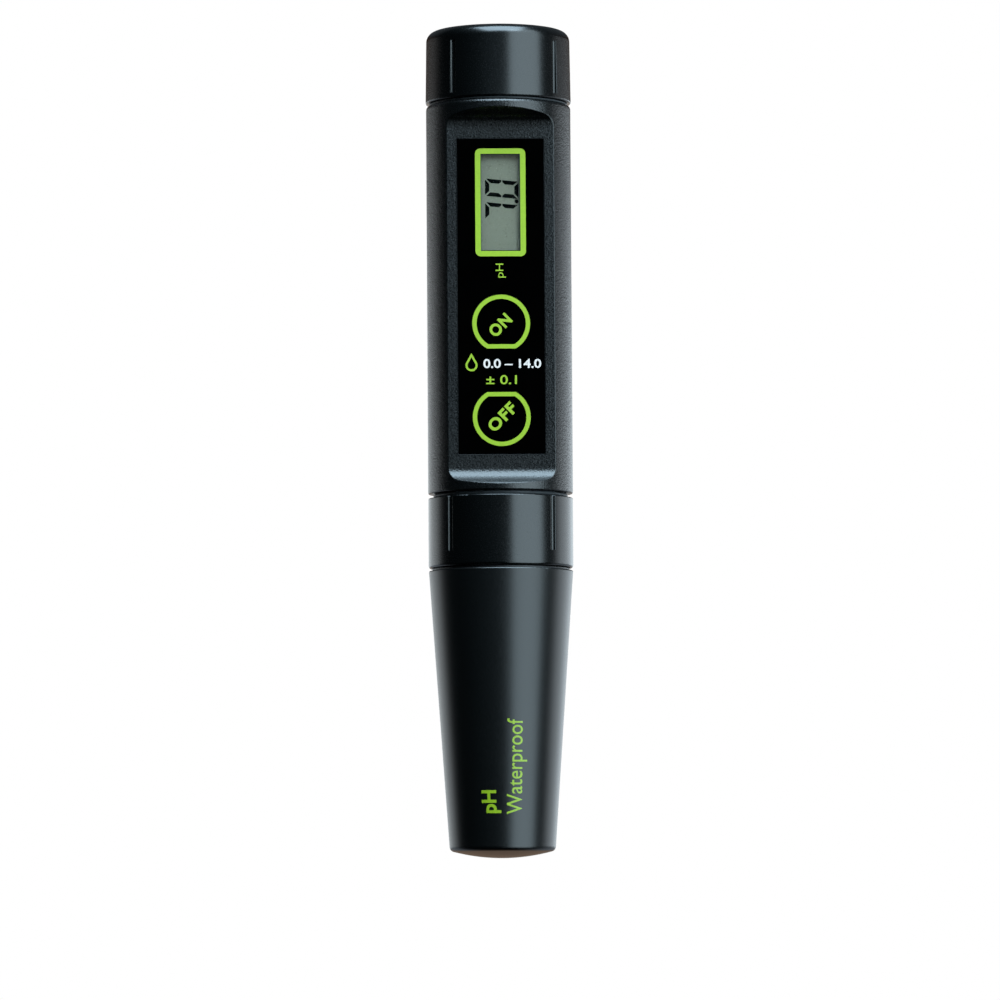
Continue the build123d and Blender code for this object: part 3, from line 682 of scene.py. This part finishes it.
@dataclass
class ThreadRidge:
    """A round-crested helical ridge, made by a small Geometry Nodes tree."""
    radius_mm: float
    pitch_mm: float
    start_mm: float
    turns: float
    height_mm: float = 0.4
    width_mm: float = 1.1

    def tree(self, material: bpy.types.Material) -> bpy.types.NodeTree:
        """Builds the node tree of the ridge.

        Args:
            material: the finish that the tree sets.

        Returns:
            A tree with named inputs for the sizes of the helix.
        """
        tree = bpy.data.node_groups.new("thread_ridge", "GeometryNodeTree")
        tree.interface.new_socket("Geometry", in_out="INPUT", socket_type="NodeSocketGeometry")
        for name in ("Radius", "Pitch", "Turns", "Ridge Height", "Ridge Width"):
            tree.interface.new_socket(name, in_out="INPUT", socket_type="NodeSocketFloat")
        tree.interface.new_socket("Geometry", in_out="OUTPUT", socket_type="NodeSocketGeometry")
        given = add_node(tree, "NodeGroupInput").outputs
        rise = add_node(tree, "ShaderNodeMath", {
            0: given["Pitch"], 1: given["Turns"]}, operation="MULTIPLY")
        helix = add_node(tree, "GeometryNodeCurveSpiral", {
            "Resolution": 96, "Rotations": given["Turns"], "Start Radius": given["Radius"],
            "End Radius": given["Radius"], "Height": rise.outputs[0]})
        upright = add_node(tree, "GeometryNodeSetCurveNormal", {0: helix.outputs["Curve"]}, mode="Z_UP")
        profile = add_node(tree, "GeometryNodeCurvePrimitiveCircle", {"Resolution": 12, "Radius": 1.0})
        shaped = add_node(tree, "ShaderNodeCombineXYZ", {
            0: given["Ridge Height"], 1: given["Ridge Width"], 2: 1.0})
        oval = add_node(tree, "GeometryNodeTransform", {
            "Geometry": profile.outputs["Curve"], "Scale": shaped.outputs["Vector"]})
        ridge = add_node(tree, "GeometryNodeCurveToMesh", {
            "Curve": upright.outputs["Curve"], "Profile Curve": oval.outputs["Geometry"],
            "Fill Caps": True})
        whole = add_node(tree, "GeometryNodeRealizeInstances", {"Geometry": ridge.outputs["Mesh"]})
        dressed = add_node(tree, "GeometryNodeSetMaterial", {
            "Geometry": whole.outputs["Geometry"], "Material": material})
        add_node(tree, "NodeGroupOutput", {"Geometry": dressed.outputs["Geometry"]})
        return tree

    def build(self, name: str, body: str, slot: str, material: bpy.types.Material) -> bpy.types.Object:
        """Makes the ridge a plain mesh that rides on a body.

        Args:
            name: the piece's name.
            body: the body that carries the thread.
            slot: the record's material slot; not used.
            material: its finish.

        Returns:
            The finished piece.
        """
        tree = self.tree(material)
        holder = bpy.data.objects.new("ridge_holder", bpy.data.meshes.new("ridge_holder"))
        bpy.context.scene.collection.objects.link(holder)
        modifier = holder.modifiers.new("ridge", "NODES")
        modifier.node_group = tree
        sizes = {"Radius": self.radius_mm * MM, "Pitch": self.pitch_mm * MM, "Turns": self.turns,
                 "Ridge Height": self.height_mm * MM, "Ridge Width": self.width_mm / 2 * MM}
        for item in tree.interface.items_tree:
            if item.item_type == "SOCKET" and item.in_out == "INPUT" and item.name in sizes:
                modifier[item.identifier] = sizes[item.name]
        bpy.context.view_layer.update()
        graph = bpy.context.evaluated_depsgraph_get()
        mesh = bpy.data.meshes.new_from_object(holder.evaluated_get(graph))
        holder.modifiers.remove(modifier)
        bpy.data.objects.remove(holder)
        mesh.transform(Matrix.Translation((0, 0, self.start_mm * MM)))
        made = bmesh.new()
        made.from_mesh(mesh)
        bmesh.ops.recalc_face_normals(made, faces=made.faces)
        for face in made.faces:
            face.smooth = True
        made.to_mesh(mesh)
        made.free()
        return add_piece(name, mesh, material, body)


# ---------------------------------------------------------------- the tester's sub-assemblies


@dataclass
class Studio:
    """White studio: soft lamps, a pale floor and the camera."""
    distance: float = 1.525
    azimuth: float = -2.0
    height: float = -0.021
    aim_z: float = 0.0864
    aim_x: float = -0.00015
    roll: float = 0.36
    lens: float = 227.8
    floor_z: float = -0.10
    floor_radius: float = 2.6

    def world(self) -> None:
        """Lights the scene from a white back, darker above and below it, and shows plain white."""
        world = bpy.data.worlds.new("studio")
        bpy.context.scene.world = world
        world.use_nodes = True
        tree = world.node_tree
        tree.nodes.clear()
        way = add_node(tree, "ShaderNodeTexCoord").outputs["Generated"]
        parts = add_node(tree, "ShaderNodeSeparateXYZ", {"Vector": way}).outputs
        across, up = parts["X"], parts["Z"]
        behind = add_node(tree, "ShaderNodeVectorMath", {0: way, 1: (0.16, 1.0, 0.0)},
                          operation="DOT_PRODUCT").outputs["Value"]
        sideways = add_node(tree, "ShaderNodeMath", {0: across}, operation="ABSOLUTE").outputs[0]
        # The wall is white and brightest on the right; its foot is a warm table, grey to the sides.
        wall = blend(tree, ramp(tree, across, 0.2, 0.55),
                     (1.45, 1.58, 1.64, 1.0), (2.2, 2.5, 2.7, 1.0))
        foot = blend(tree, ramp(tree, sideways, 0.15, 0.45),
                     (0.45, 0.32, 0.235, 1.0), (0.5, 0.58, 0.66, 1.0))
        lower = blend(tree, ramp(tree, up, -0.06, -0.14), wall, foot)
        # A brown ceiling just over the wall turns grey overhead, and the room in front is dark.
        ceiling = blend(tree, ramp(tree, up, 0.16, 0.4), colour("#3F2817"), (0.1, 0.115, 0.13, 1.0))
        back = blend(tree, ramp(tree, up, 0.088, 0.118), lower, ceiling)
        room = blend(tree, ramp(tree, behind, 0.12, 0.5), colour("#06080A"), back)
        seen = add_node(tree, "ShaderNodeLightPath").outputs["Is Camera Ray"]
        shown = blend(tree, seen, room, (1.0, 1.0, 1.0, 1.0))
        light = add_node(tree, "ShaderNodeBackground", {"Color": shown, "Strength": 1.0})
        add_node(tree, "ShaderNodeOutputWorld", {"Surface": light.outputs["Background"]})

    def softbox(self, name: str, azimuth: float, elevation: float, distance: float,
                size: tuple[float, float], brightness: float, tint: tuple[float, float, float]) -> None:
        """Adds a soft rectangular lamp that faces the middle of the tester.

        Args:
            name: the lamp's name.
            azimuth: degrees round from the front, positive to the right.
            elevation: degrees up from level.
            distance: metres from the middle of the tester.
            size: width and height in metres.
            brightness: how bright its face looks.
            tint: its colour.
        """
        lamp = bpy.data.lights.new(name, "AREA")
        lamp.shape = "RECTANGLE"
        lamp.size, lamp.size_y = size
        lamp.energy = brightness * math.pi * size[0] * size[1]
        lamp.color = tint
        a, e = math.radians(azimuth), math.radians(elevation)
        way = Vector((math.sin(a) * math.cos(e), -math.cos(a) * math.cos(e), math.sin(e)))
        holder = bpy.data.objects.new(name, lamp)
        holder.location = Vector((0, 0, 0.1)) + way * distance
        holder.rotation_euler = way.to_track_quat("Z", "Y").to_euler()
        holder.visible_camera = False
        bpy.context.scene.collection.objects.link(holder)

    def floor(self) -> None:
        """Adds a pale disc well below the tester, so that the pulled cap stays above it."""
        made = bmesh.new()
        bmesh.ops.create_circle(made, cap_ends=True, radius=self.floor_radius, segments=96)
        mesh = bpy.data.meshes.new("floor")
        made.to_mesh(mesh)
        made.free()
        mesh.transform(Matrix.Translation((0, 0, self.floor_z)))
        mesh.materials.append(StudioSweep().build())
        floor = bpy.data.objects.new("floor", mesh)
        bpy.context.scene.collection.objects.link(floor)
        # The floor is far below in the real room, so it shows but lights and mirrors nothing.
        floor.visible_glossy = False
        floor.visible_diffuse = False

    def camera(self) -> None:
        """Places the camera a little below the tester's foot, looking up at its display."""
        a = math.radians(self.azimuth)
        place = Vector((math.sin(a) * self.distance, -math.cos(a) * self.distance, self.height))
        aim = Vector((self.aim_x, 0, self.aim_z))
        data = bpy.data.cameras.new("camera")
        data.lens = self.lens
        data.sensor_width = 36.0
        data.clip_start = 0.05
        data.clip_end = 50.0
        holder = bpy.data.objects.new("camera", data)
        turn = (place - aim).to_track_quat("Z", "Y").to_matrix().to_4x4()
        holder.matrix_world = (Matrix.Translation(place) @ turn
                               @ Matrix.Rotation(math.radians(-self.roll), 4, "Z"))
        bpy.context.scene.collection.objects.link(holder)
        bpy.context.scene.camera = holder

    def build(self) -> None:
        """Sets up the whole studio."""
        bpy.context.scene.view_settings.view_transform = "Standard"
        self.world()
        self.softbox("side_softbox", azimuth=42, elevation=4, distance=1.2, size=(1.16, 2.4),
                     brightness=4.0, tint=(0.71, 0.90, 1.0))
        self.softbox("overhead_softbox", azimuth=6, elevation=60, distance=1.3, size=(1.2, 1.3),
                     brightness=12.0, tint=(0.62, 0.84, 1.0))
        self.floor()
        self.camera()
        log.info("studio ready")


@dataclass
class Display:
    """The liquid crystal display with its window and its green printed frame."""
    finishes: Finishes
    digit_mm: float = 8.05
    cell_mm: float = 4.2
    end_bar_mm: float = 1.0
    side_bar_mm: float = 0.98
    gap_mm: float = 0.26
    slant: float = 0.1
    starts_mm: tuple[float, float] = (152.97, 158.67)
    point_mm: tuple[float, float] = (158.05, 0.5)
    point_radius_mm: float = 0.48
    feet_x_mm: float = 4.4
    frame_mm: tuple[float, float] = (12.15, 26.1)
    frame_line_mm: float = 1.3
    frame_corner_mm: float = 1.3
    # Widths of the painted shadow line inside the frame: left, right, bottom, top.
    painted_shadow_line_mm: tuple[float, float, float, float] = (0.06, 0.32, 0.1, 0.3)

    def segments(self, names: str) -> list[list[tuple[float, float]]]:
        """Outlines of the lit segments of one digit, upright, in millimetres.

        Args:
            names: the segments' letters, a to g.

        Returns:
            One closed outline for each letter.
        """
        h, w, t, s, g = self.digit_mm, self.cell_mm, self.end_bar_mm, self.side_bar_mm, self.gap_mm
        m = h / 2
        shapes = {
            "a": [(g, h), (w - g, h), (w - s - g, h - t), (s + g, h - t)],
            "d": [(s + g, t), (w - s - g, t), (w - g, 0), (g, 0)],
            "b": [(w, h - g), (w, m + g / 2), (w - s / 2, m + g / 2), (w - s, m + s / 2 + g),
                  (w - s, h - t - g)],
            "c": [(w, m - g / 2), (w, g), (w - s, t + g), (w - s, m - s / 2 - g), (w - s / 2, m - g / 2)],
            "f": [(0, h - g), (s, h - t - g), (s, m + s / 2 + g), (s / 2, m + g / 2), (0, m + g / 2)],
            "e": [(0, m - g / 2), (s / 2, m - g / 2), (s, m - s / 2 - g), (s, t + g), (0, g)],
            "g": [(s / 2 + g, m), (s + g, m + s / 2), (w - s - g, m + s / 2), (w - s / 2 - g, m),
                  (w - s - g, m - s / 2), (s + g, m - s / 2)],
        }
        return [shapes[name] for name in names]

    def reading(self) -> bpy.types.Mesh:
        """The reading 7.0 as thin segments, turned to read up the pen.

        Returns:
            The mesh of the lit segments.
        """
        loops = []
        for names, start in zip(("abc", "abcdef"), self.starts_mm):
            for shape in self.segments(names):
                loops.append([((start + u) * MM, v * MM) for u, v in shape])
        point = arc(self.point_radius_mm, 0, 330, 11, self.point_mm)
        loops.append([(u * MM, v * MM) for u, v in point])
        leaned = [[(u + self.slant * (v - self.digit_mm * MM / 2), v) for u, v in loop] for loop in loops]
        mesh = flat_shape(leaned, 0.02 * MM)
        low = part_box("lcd_glass")[0].y
        # The digits' feet lie to the right of the display's middle line.
        mesh.transform(Matrix.Rotation(math.radians(90), 4, "Z"))
        mesh.transform(Matrix.Translation((self.feet_x_mm * MM, 0, 0)))
        mesh.transform(Matrix.Rotation(math.radians(90), 4, "X"))
        mesh.transform(Matrix.Translation((0, low - 0.004 * MM, 0)))
        return mesh

    def on_film(self, loops_mm: list[list[tuple[float, float]]], thickness_mm: float,
                lift_mm: float) -> bpy.types.Mesh:
        """A flat print on the film, centred on the window.

        Args:
            loops_mm: its outlines, round the window's middle.
            thickness_mm: how thick the ink is.
            lift_mm: how far the middle of the ink stands in front of the film.

        Returns:
            The mesh of the print.
        """
        low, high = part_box("display_window")
        loops = [[(x * MM, y * MM) for x, y in loop] for loop in loops_mm]
        front = -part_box("keypad_overlay")[0].y + lift_mm * MM
        return face_front(flat_shape(loops, thickness_mm * MM), 0, (low.z + high.z) / 2, front)

    def border(self) -> bpy.types.Mesh:
        """The green frame printed round the window.

        Returns:
            A ring with rounded outer corners and square inner ones.
        """
        half_w, half_h, r = self.frame_mm[0] / 2, self.frame_mm[1] / 2, self.frame_corner_mm
        outer = []
        for sx, sy, start in ((1, 1, 0), (-1, 1, 90), (-1, -1, 180), (1, -1, 270)):
            outer += arc(r, start, start + 90, 8, (sx * (half_w - r), sy * (half_h - r)))
        w, h = half_w - self.frame_line_mm, half_h - self.frame_line_mm
        return self.on_film([outer, [(w, h), (-w, h), (-w, -h), (w, -h)]], 0.03, 0.01)

    def painted_shadow_line(self) -> bpy.types.Mesh:
        """Painted shadow: a black ink line inside the green frame, widest on the right and above, where the
        frame's shadow falls on the display.

        Returns:
            A square ring with a different line width on each side.
        """
        under = 0.1
        w, h = (size / 2 - self.frame_line_mm + under for size in self.frame_mm)
        left, right, bottom, top = (line + under for line in self.painted_shadow_line_mm)
        inner = [(w - right, h - top), (left - w, h - top), (left - w, bottom - h), (w - right, bottom - h)]
        return self.on_film([[(w, h), (-w, h), (-w, -h), (w, -h)], inner], 0.02, -0.01)

    def build(self) -> None:
        """Dresses the display's nodes and adds its segments, its frame and the painted shadow line inside
        the frame.
        """
        finish_node("lcd_glass", self.finishes[Finish.LCD])
        finish_node("display_window", self.finishes[Finish.WINDOW])
        finish_node("lcd_frame", self.finishes[Finish.NATURAL])
        finish_node("contact_strips", self.finishes[Finish.BLACK_RUBBER])
        add_piece("lcd_reading", self.reading(), self.finishes[Finish.SEGMENT], "housing")
        # Black ink painted in as the shadow that the frame casts on the display, on its right and top.
        add_piece("display_painted_shadow_line_print", self.painted_shadow_line(), self.finishes[Finish.PAINTED_SHADOW_INK], "housing")
        add_piece("display_border_print", self.border(), self.finishes[Finish.GREEN_INK], "housing")


@dataclass(frozen=True)
class FilmPrint:
    """A word or a number printed on the film, placed by the middle of its capitals."""
    name: str
    words: str
    cap_mm: float
    length_mm: float
    x_mm: float
    z_mm: float
    turn: float = 0.0
    weight: float = 0.0
    ink: Finish = Finish.GREEN_INK


@dataclass
class Keypad:
    """The black film overlay, its two keys and everything printed on them."""
    finishes: Finishes
    prints: tuple[FilmPrint, ...] = (
        FilmPrint("display_unit_print", "pH", 1.98, 3.4, -0.4, 140.85, turn=90.0),
        FilmPrint("range_print", "0.0 – 14.0", 2.3, 13.9, 2.6, 118.5, weight=0.02, ink=Finish.WHITE_INK),
        FilmPrint("accuracy_print", "± 0.1", 2.3, 7.4, 0.0, 114.6, weight=0.012),
    )
    ink_mm: float = 0.03
    key_cap_mm: float = 3.15
    ring_mm: float = 6.95
    ring_line_mm: float = 1.03
    flat_mm: float = 6.05
    on_z_mm: float = 128.1
    off_z_mm: float = 105.5
    lift_mm: float = 0.01
    drop_mm: float = 1.45
    drop_at_mm: tuple[float, float] = (-7.2, 118.0)
    edge_mm: float = 0.12
    edge_proud_mm: float = 0.06

    def ring(self, flat_side: int) -> list[list[tuple[float, float]]]:
        """A round ring with one flat side.

        Args:
            flat_side: 1 if the flat is above, -1 if it is below.

        Returns:
            The outer and the inner outline, in metres.
        """
        loops = []
        for radius, flat in ((self.ring_mm, self.flat_mm),
                             (self.ring_mm - self.ring_line_mm, self.flat_mm - self.ring_line_mm)):
            start = math.degrees(math.asin(flat / radius))
            points = arc(radius, 180 - start, 360 + start, 72)
            loops.append([(x * MM, y * flat_side * MM) for x, y in points])
        return loops

    def print_on_key(self, name: str, word: str, z_mm: float, flat_side: int, length_mm: float,
                     shift_mm: tuple[float, float]) -> None:
        """Prints a key's ring and its word.

        Args:
            name: the key's node and body.
            word: the word on the key.
            z_mm: the height of the ring's centre.
            flat_side: 1 if the flat is above, -1 if it is below.
            length_mm: the length of the word.
            shift_mm: how far right of and above the ring's centre the word is printed.
        """
        front = -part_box(name)[0].y + self.lift_mm * MM
        ring = face_front(flat_shape(self.ring(flat_side), self.ink_mm * MM), 0, z_mm * MM, front)
        text = lettering(word, self.key_cap_mm * MM, length_mm * MM, self.ink_mm * MM, weight=0.04,
                         spacing=1.14)
        text = face_front(text, shift_mm[0] * MM, (z_mm + shift_mm[1]) * MM, front, 45)
        add_piece(f"{name}_print", joined([ring, text], f"{name}_print"), self.finishes[Finish.GREEN_INK],
                  name)

    def drop(self, share: float) -> list[tuple[float, float]]:
        """The outline of a falling drop of liquid.

        Args:
            share: its size as a share of the whole sign.

        Returns:
            A closed outline about the centre of its round part, in metres.
        """
        radius = self.drop_mm * MM * share
        return [(0.0, radius * 2.05)] + arc(radius, 150, 390, 40)

    def film_edge(self) -> bpy.types.Mesh:
        """The cut edge of the film, a narrow bevel that stands a hair above the flat.

        Returns:
            A closed bevelled rim round the film.
        """
        low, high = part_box("keypad_overlay")
        wide, proud = self.edge_mm * MM, self.edge_proud_mm * MM
        made = bmesh.new()
        rings = []
        for inset, depth in ((-0.02 * MM, 0.06 * MM), (wide * 0.35, -proud), (wide * 0.6, -proud),
                             (wide, 0.01 * MM), (wide, 0.06 * MM)):
            corners = [(low.x + inset, low.z + inset), (high.x - inset, low.z + inset),
                       (high.x - inset, high.z - inset), (low.x + inset, high.z - inset)]
            rings.append([made.verts.new((x, low.y + depth, z)) for x, z in corners])
        for first, second in zip(rings, rings[1:] + rings[:1]):
            for i in range(4):
                j = (i + 1) % 4
                made.faces.new((first[i], first[j], second[j], second[i]))
        bmesh.ops.recalc_face_normals(made, faces=made.faces)
        mesh = bpy.data.meshes.new("film_edge")
        made.to_mesh(mesh)
        made.free()
        return mesh

    def build(self) -> None:
        """Dresses the film and the keys and adds the prints."""
        for name in ("keypad_overlay", "on_key", "off_key"):
            finish_node(name, self.finishes[Finish.OVERLAY])
        self.print_on_key("on_key", "ON", self.on_z_mm, -1, 5.9, (-0.35, -0.4))
        self.print_on_key("off_key", "OFF", self.off_z_mm, 1, 8.0, (0.0, 0.1))
        front = -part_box("keypad_overlay")[0].y + self.lift_mm * MM
        x_mm, z_mm = self.drop_at_mm
        sign = flat_shape([self.drop(1.0), self.drop(0.66)], self.ink_mm * MM)
        add_piece("drop_print", face_front(sign, x_mm * MM, z_mm * MM, front),
                  self.finishes[Finish.GREEN_INK], "housing")
        for item in self.prints:
            text = lettering(item.words, item.cap_mm * MM, item.length_mm * MM, self.ink_mm * MM,
                             weight=item.weight)
            text = face_front(text, item.x_mm * MM, item.z_mm * MM, front, item.turn)
            add_piece(item.name, text, self.finishes[item.ink], "housing")
        add_piece("film_edge", self.film_edge(), self.finishes[Finish.FILM_EDGE], "housing")


@dataclass
class Housing:
    """The grained main housing with its screw spigots."""
    finishes: Finishes

    def build(self) -> None:
        """Dresses the housing and its seals and adds the thread ridges."""
        finish_node("main_housing", self.finishes[Finish.HOUSING])
        for name in ("battery_cap_gasket", "collar_o_ring"):
            finish_node(name, self.finishes[Finish.GREY_RUBBER])
        finish_node("battery_cap_o_ring", self.finishes[Finish.BLACK_RUBBER])
        top = ThreadRidge(radius_mm=14.9, pitch_mm=3.0, start_mm=185.9, turns=1.4, height_mm=0.42,
                          width_mm=1.3)
        lower = ThreadRidge(radius_mm=14.9, pitch_mm=3.5, start_mm=78.0, turns=1.9, height_mm=0.42,
                            width_mm=1.5)
        for name, ridge in (("top_thread_ridge", top), ("lower_thread_ridge", lower)):
            ridge.build(name, "housing", "housing_plastic", self.finishes[Finish.SPIGOT])


@dataclass
class Caps:
    """Battery cap, probe collar and the long protective cap, all in satin black."""
    finishes: Finishes
    foot_z_mm: float = 1.8
    foot_radius_mm: float = 12.75
    top_z_mm: float = 69.2
    top_radius_mm: float = 17.42

    def cone_radius(self, z: float) -> float:
        """Radius of the protective cap's outside.

        Args:
            z: the height at which it is wanted.

        Returns:
            The radius, on the straight line from the cap's foot to its top.
        """
        share = (z / MM - self.foot_z_mm) / (self.top_z_mm - self.foot_z_mm)
        return (self.foot_radius_mm + (self.top_radius_mm - self.foot_radius_mm) * share) * MM

    def wrapped(self, words: str, cap_mm: float, length_mm: float, z_mm: float, angle: float,
                weight: float) -> bpy.types.Mesh:
        """Lettering that runs up the cone and lies on it.

        Args:
            words: the text.
            cap_mm: height of its capitals.
            length_mm: its length along the cone.
            z_mm: the height of its middle.
            angle: where the capitals' middle lies, degrees round from the front to the right.
            weight: extra boldness.

        Returns:
            The wrapped mesh.
        """
        mesh = lettering(words, cap_mm * MM, length_mm * MM, 0.04 * MM, weight=weight)
        made = bmesh.new()
        made.from_mesh(mesh)
        long_edges = [edge for edge in made.edges if edge.calc_length() > 0.5 * MM]
        bmesh.ops.subdivide_edges(made, edges=long_edges, cuts=3, use_grid_fill=False)
        bmesh.ops.triangulate(made, faces=made.faces)
        for vertex in made.verts:
            along, across, out = vertex.co
            z = z_mm * MM + along
            radius = self.cone_radius(z) + out + 0.012 * MM
            turn = math.radians(angle) - across / self.cone_radius(z)
            vertex.co = (radius * math.sin(turn), -radius * math.cos(turn), z)
        bmesh.ops.recalc_face_normals(made, faces=made.faces)
        made.to_mesh(mesh)
        made.free()
        return mesh

    def build(self) -> None:
        """Dresses the caps and prints the protective cap."""
        for name in ("battery_cap", "probe_collar"):
            finish_node(name, self.finishes[Finish.CAP])
        finish_node("protective_cap", self.finishes[Finish.SHIELD])
        unit = self.wrapped("pH", cap_mm=3.85, length_mm=5.5, z_mm=13.3, angle=-16.3, weight=0.03)
        word = self.wrapped("Waterproof", cap_mm=3.97, length_mm=22.8, z_mm=21.7, angle=9.7, weight=0.004)
        add_piece("cap_print", joined([unit, word], "cap_print"), self.finishes[Finish.GREEN_INK],
                  "protective_cap")
        finish_node("storage_sponge", self.finishes[Finish.FOAM])


@dataclass
class Probe:
    """The probe module: shell, glass electrode, wires, junction and seals."""
    finishes: Finishes

    def build(self) -> None:
        """Dresses the probe's nodes."""
        dress = {
            "probe_body": Finish.PROBE, "seat_ring": Finish.PROBE, "shield_o_ring": Finish.BLACK_RUBBER,
            "probe_head_o_ring": Finish.BLACK_RUBBER, "glass_electrode": Finish.ELECTRODE,
            "sensing_wire": Finish.SILVER, "reference_wire": Finish.SILVER,
            "reference_junction": Finish.JUNCTION, "stem_plug": Finish.BLACK_RUBBER,
            "contact_pins": Finish.GOLD, "probe_socket": Finish.RESIN,
        }
        for name, finish in dress.items():
            finish_node(name, self.finishes[finish])


@dataclass
class Electronics:
    """Board, chips, switches, trimmers, battery bay and cells."""
    finishes: Finishes

    def build(self) -> None:
        """Dresses the nodes inside the housing."""
        dress = {
            "main_board": Finish.BOARD, "processor_chip": Finish.RESIN, "amplifier_chip": Finish.RESIN,
            "small_components": Finish.CERAMIC, "on_switch_body": Finish.RESIN,
            "off_switch_body": Finish.RESIN, "on_switch_plunger": Finish.NATURAL,
            "off_switch_plunger": Finish.NATURAL, "offset_trimmer_body": Finish.TRIMMER_BLUE,
            "slope_trimmer_body": Finish.TRIMMER_BLUE, "offset_trimmer_rotor": Finish.TRIMMER_WHITE,
            "slope_trimmer_rotor": Finish.TRIMMER_WHITE, "battery_holder": Finish.NATURAL,
            "battery_spring": Finish.NICKEL, "supply_strip": Finish.NICKEL, "contact_plate": Finish.NICKEL,
            "contact_rivet": Finish.NICKEL, "board_screws": Finish.NICKEL, "signal_leads": Finish.NICKEL,
        }
        for name, finish in dress.items():
            finish_node(name, self.finishes[finish])
        for number in range(1, 5):
            finish_node(f"button_cell_{number}", self.finishes[Finish.CELL])


def main() -> None:
    """Builds the tester's looks around the frame and sets up the studio."""
    logging.basicConfig(level=logging.INFO, format="%(message)s")
    finishes = Finishes()
    for part in (Studio(), Housing(finishes), Display(finishes), Keypad(finishes), Caps(finishes),
                 Probe(finishes), Electronics(finishes)):
        part.build()
        log.info("%s done", type(part).__name__)


if __name__ == "__main__":
    main()
